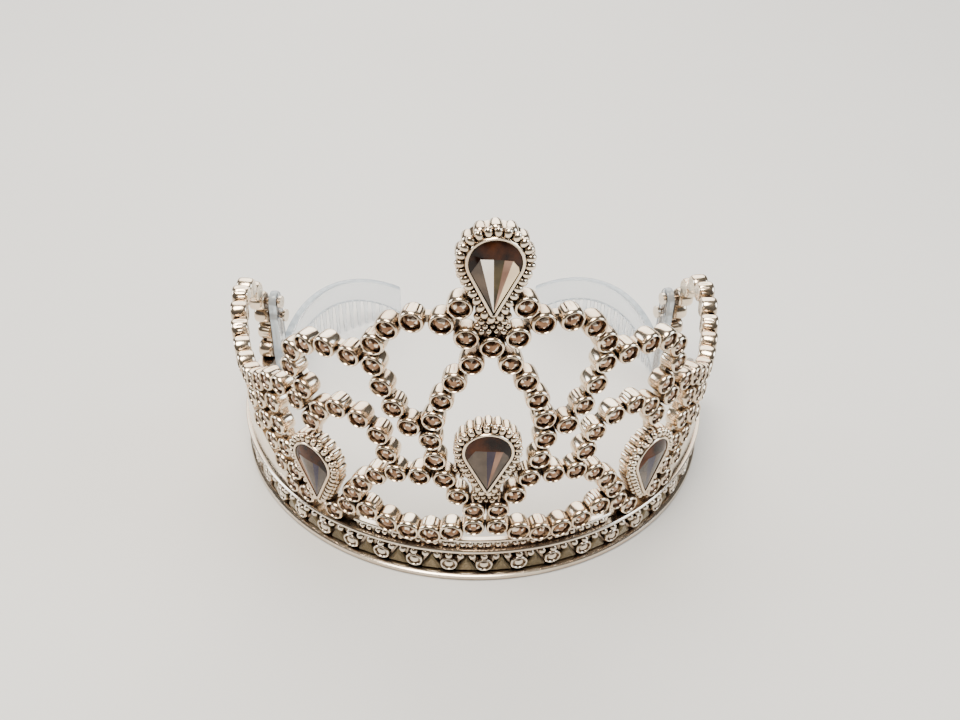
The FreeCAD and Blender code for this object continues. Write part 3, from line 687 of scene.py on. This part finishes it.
# In the channel: a stud at each pitch, three pearls to a pitch, and a facet between studs.
STUD_PITCH, STUD_HEIGHT, STUDS_EACH_SIDE = 8.0, 4.7, 9
PEARL_HEIGHT, PEARL_RADIUS, PEARL_SINK = 7.5, 0.95, 0.62
FACET_FOOT, FACET_MIDDLE = 1.85, 1.6
STUD_RING = lathe([(0, -1.5), (1.95, -1.5), (2.02, -0.9), (2.02, -0.35), (1.94, -0.08), (1.78, 0.06),
                   (1.6, 0.02), (1.48, -0.14), (1.42, -0.5), (0, -0.5)], 24)
STUD_STONE = round_stone(0)[:2]
STUD_STONE_LIFT, STUD_STONE_SIZE = 0.28, 0.8
smaller = Matrix.Diagonal((STUD_STONE_SIZE, STUD_STONE_SIZE, 1.0, 1.0))
lifted = Matrix.Translation((0, 0, STUD_STONE_LIFT))
studs = Builder()
for k in range(-STUDS_EACH_SIDE, STUDS_EACH_SIDE + 1):
    matrix = shell_matrix(STUD_PITCH * k, STUD_HEIGHT)
    studs.add(*STUD_RING, matrix)
    studs.add(*STUD_STONE, matrix @ lifted @ smaller, 0, False)
studs.finish("look_band_studs", [band_plating], "silver_plating", ["band_studs"])

pearls = Builder()
sunk = Matrix.Translation((0, 0, -PEARL_SINK))
for k in range(-3 * STUDS_EACH_SIDE, 3 * STUDS_EACH_SIDE + 1):
    pearls.add(*bead(PEARL_RADIUS, 12, 8), shell_matrix(STUD_PITCH / 3 * k, PEARL_HEIGHT) @ sunk)
pearls.finish("look_band_pearls", [band_plating], "silver_plating", ["band_pearls"])

facets = Builder()
triangle = [(-2.65, 0), (2.65, 0), (0, 4.8)]
triangle_layers = [(0.93, -0.95), (0.62, -0.55)]  # size and height of the two raised outlines
faces = [[0, 1, 4, 3], [1, 2, 5, 4], [2, 0, 3, 5], [3, 4, 7, 6], [4, 5, 8, 7], [5, 3, 6, 8], [6, 7, 8]]
points = [(x, y, -1.5) for x, y in triangle]
for size, height in triangle_layers:
    points += [(x * size, FACET_MIDDLE + (y - FACET_MIDDLE) * size, height) for x, y in triangle]
for k in range(-STUDS_EACH_SIDE, STUDS_EACH_SIDE):
    facets.add(points, faces, shell_matrix(STUD_PITCH * k + STUD_PITCH / 2, FACET_FOOT), 0, False)
facets.finish("look_band_facets", [cast_plating], "silver_plating", ["band_facets"])

for node in ("end_panel_left", "end_panel_right", "comb_pegs_left", "comb_pegs_right"):
    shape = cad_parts[node]
    shape.data.materials.clear()
    shape.data.materials.append(band_plating)


# ---- combs --------------------------------------------------------------------------------
COMB_RADIUS = 43.0
COMB_INNER = 41.0
COMB_CENTRE = (11.9, 5.7)
COMB_START, COMB_SWEEP, COMB_PEAK_TURN = 96.5, 71.0, 134.5
COMB_PEAK, COMB_ARCH, COMB_SPINE = 18.6, 40.0, 7.0
COMB_LOWEST = 0.3
COMB_ROUND = 0.4
COMB_TEETH = 21
TOOTH_OVERLAP = 0.15
SHORTEST_TOOTH = 1.8  # a tooth whose root is lower than this is left out
TAB_SWEEP, TAB_TOP = 7.0, 31.5
TAB_ROUND = math.radians(TAB_SWEEP) * COMB_RADIUS / 2
TAB_STEPS, BACK_STEPS = 24, 64
TAB_EDGE = 0.05
CORNER_POINTS = 3
OUTLINE_POINTS = 4 * CORNER_POINTS
FLAT_SIDES = (2, 8)  # faces of a comb's outline that are its broad inner and outer sides


def comb_point(side, turn, radius, height):
    """Point on one comb: turn in degrees about the comb's own upright axis."""
    a = math.radians(turn)
    x = side * (COMB_CENTRE[0] + radius * math.sin(a))
    return x, AXIS_Y + COMB_CENTRE[1] - radius * math.cos(a), height


def comb_edges(turn):
    """Heights of a comb's lower and upper edge: the upright tab first, then the arched back."""
    across = COMB_RADIUS * math.sin(math.radians(turn - COMB_PEAK_TURN))
    base = COMB_PEAK - COMB_ARCH
    top = base + math.sqrt(COMB_ARCH ** 2 - across ** 2)
    low = base + math.sqrt((COMB_ARCH - COMB_SPINE) ** 2 - across ** 2)
    past_tab = turn - COMB_START - TAB_SWEEP
    if past_tab <= 0:
        off = min(TAB_ROUND, math.radians(abs(past_tab + TAB_SWEEP / 2)) * COMB_RADIUS)
        top = TAB_TOP - TAB_ROUND + math.sqrt(TAB_ROUND ** 2 - off ** 2)
    return max(low, COMB_LOWEST), top


def rounded_box(left, right, low, high, r):
    """Rounded rectangle of twelve points, counter-clockwise."""
    corners = ((right - r, low + r, -90), (right - r, high - r, 0),
               (left + r, high - r, 90), (left + r, low + r, 180))
    points = []
    for x, y, start in corners:
        for k in range(CORNER_POINTS):
            a = math.radians(start + 45 * k)
            points.append((x + r * math.cos(a), y + r * math.sin(a)))
    return points


for side, name in ((1, "comb_left"), (-1, "comb_right")):
    comb = Builder()
    tab_end = COMB_START + TAB_SWEEP
    turns = [COMB_START + TAB_SWEEP * k / TAB_STEPS for k in range(TAB_STEPS + 1)] + [tab_end + TAB_EDGE]
    turns += [tab_end + (COMB_SWEEP - TAB_SWEEP) * k / BACK_STEPS for k in range(1, BACK_STEPS + 1)]
    rings = []
    for turn in turns:
        low, top = comb_edges(turn)
        outline = rounded_box(COMB_INNER, COMB_RADIUS, low, top, COMB_ROUND)
        rings.append([comb_point(side, turn, r, z) for r, z in outline])
    points, faces = loft(rings, True, True)
    # Edge faces take slot 1, the painted shade on the comb's edges.
    strip = [0 if k in FLAT_SIDES else 1 for k in range(OUTLINE_POINTS)]
    comb.add(points, flipped(faces) if side > 0 else faces, None, strip * (len(rings) - 1) + [1, 1])
    for k in range(COMB_TEETH):
        turn = COMB_START + COMB_SWEEP * (k + 0.5) / COMB_TEETH
        root = comb_edges(turn)[0] + TOOTH_OVERLAP
        if root < SHORTEST_TOOTH:
            continue
        # Height, half width, inset and corner radius of each section, from the tip to the root.
        sections = ((0.6, 0.24, 0.78, 0.15), (0.85, 0.38, 0.66, 0.22),
                    (root * 0.5, 0.5, 0.5, 0.28), (root, 0.64, 0.28, 0.3))
        rings = []
        for height, half_width, inset, corner in sections:
            outline = rounded_box(COMB_INNER + inset, COMB_RADIUS - inset, -half_width, half_width, corner)
            rings.append([comb_point(side, turn + math.degrees(t / COMB_RADIUS), r, height)
                          for r, t in outline])
        points, faces = loft(rings, True, True)
        comb.add(points, faces if side > 0 else flipped(faces))
    comb.finish("look_" + name, [clear, edge_shade], "clear_comb", [name])


# ---- rail over the front of the band ------------------------------------------------------
WINDOW_PITCH = 4.0
WINDOWS_EACH_SIDE = 8
RAIL_FACE = 59.6
RAIL_BACK = RAIL_FACE - 1.2
RAIL_HALF = 31.0
POST_FACE = RAIL_FACE - 0.1
POST_HALF = 0.3
RAIL_BEAD, RAIL_BEAD_HEIGHT, RAIL_BEAD_SINK = 0.85, 10.6, 1.5
rail = Builder()
strip = [(RAIL_BACK, 11.35), (RAIL_FACE - 0.15, 11.3), (RAIL_FACE, 11.45), (RAIL_FACE, 11.9),
         (RAIL_FACE - 0.2, 12.08), (RAIL_BACK, 12.05)]
rail.add(*swept_band(strip, -RAIL_HALF, RAIL_HALF))
sunk = Matrix.Translation((0, 0, -RAIL_BEAD_SINK))
for k in range(1 - WINDOWS_EACH_SIDE, WINDOWS_EACH_SIDE):
    for ds in (-RAIL_BEAD, RAIL_BEAD):
        rail.add(*bead(RAIL_BEAD, 12, 8), shell_matrix(WINDOW_PITCH * k + ds, RAIL_BEAD_HEIGHT) @ sunk)
post = [(RAIL_BACK, 9.6), (POST_FACE, 9.6), (POST_FACE, 11.5), (RAIL_BACK, 11.5)]
for k in range(-WINDOWS_EACH_SIDE, WINDOWS_EACH_SIDE):
    middle = WINDOW_PITCH * (k + 0.5)
    rail.add(*swept_band(post, middle - POST_HALF, middle + POST_HALF))
rail.finish("look_gallery_rail", [band_plating], "silver_plating", ["gallery_rail"])


# ---- floor, light and camera --------------------------------------------------------------
FLOOR_SIZE = 6
bpy.ops.mesh.primitive_plane_add(size=FLOOR_SIZE, location=(0, 0, 0))
floor = bpy.context.object
floor.name = "floor"
floor.data.materials.append(mottle(
    material("floor_paper", (0.72, 0.71, 0.69), 0.0, 0.7),
    (0.66, 0.65, 0.63), scale=3, amount=0.5, rough=(0.6, 0.8)))

world = bpy.data.worlds.new("studio")
world.use_nodes = True
world.node_tree.nodes["Background"].inputs["Color"].default_value = (0.85, 0.80, 0.74, 1)
world.node_tree.nodes["Background"].inputs["Strength"].default_value = 0.14
bpy.context.scene.world = world

LIGHT_TARGET = Vector((0, 0, 0.04))


def soft_light(name, place, size, power, colour):
    """Round area light that points at the middle of the tiara."""
    lamp = bpy.data.lights.new(name, "AREA")
    lamp.shape, lamp.size, lamp.energy, lamp.color = "DISK", size, power, colour
    light = bpy.data.objects.new(name, lamp)
    light.location = place
    light.rotation_mode = "QUATERNION"
    light.rotation_quaternion = (LIGHT_TARGET - Vector(place)).to_track_quat("-Z", "Y")
    bpy.context.scene.collection.objects.link(light)


soft_light("key", (-0.12, -0.25, 0.8), 0.45, 12, (1.0, 0.92, 0.80))
soft_light("fill", (0.75, -0.15, 0.45), 0.5, 5, (0.76, 0.88, 1.0))
soft_light("back", (0.0, 0.75, 0.65), 1.2, 16, (1.0, 0.96, 0.90))
soft_light("left", (-0.8, 0.1, 0.35), 0.4, 4, (0.85, 0.92, 1.0))

PITCH, YAW, ROLL = 0.64088, 0.05839, 0.0238  # radians: down, to the right, and about the view
SENSOR_WIDTH, FOCAL_LENGTH = 36, 37.545
CAMERA_PLACE = Vector((-11.004, AXIS_Y - 213.93, 177.66))
level = Vector((math.cos(YAW), -math.sin(YAW), 0))
view = Vector((math.sin(YAW) * math.cos(PITCH), math.cos(YAW) * math.cos(PITCH), -math.sin(PITCH)))
above = level.cross(view)
right = level * math.cos(ROLL) + above * math.sin(ROLL)
up = above * math.cos(ROLL) - level * math.sin(ROLL)
lens = bpy.data.cameras.new("camera")
lens.sensor_width = SENSOR_WIDTH
lens.lens = FOCAL_LENGTH
lens.clip_start, lens.clip_end = 0.01, 20
camera = bpy.data.objects.new("camera", lens)
camera.matrix_world = Matrix((right, up, -view)).transposed().to_4x4()
camera.matrix_world.translation = CAMERA_PLACE * MM
bpy.context.scene.collection.objects.link(camera)
bpy.context.scene.camera = camera
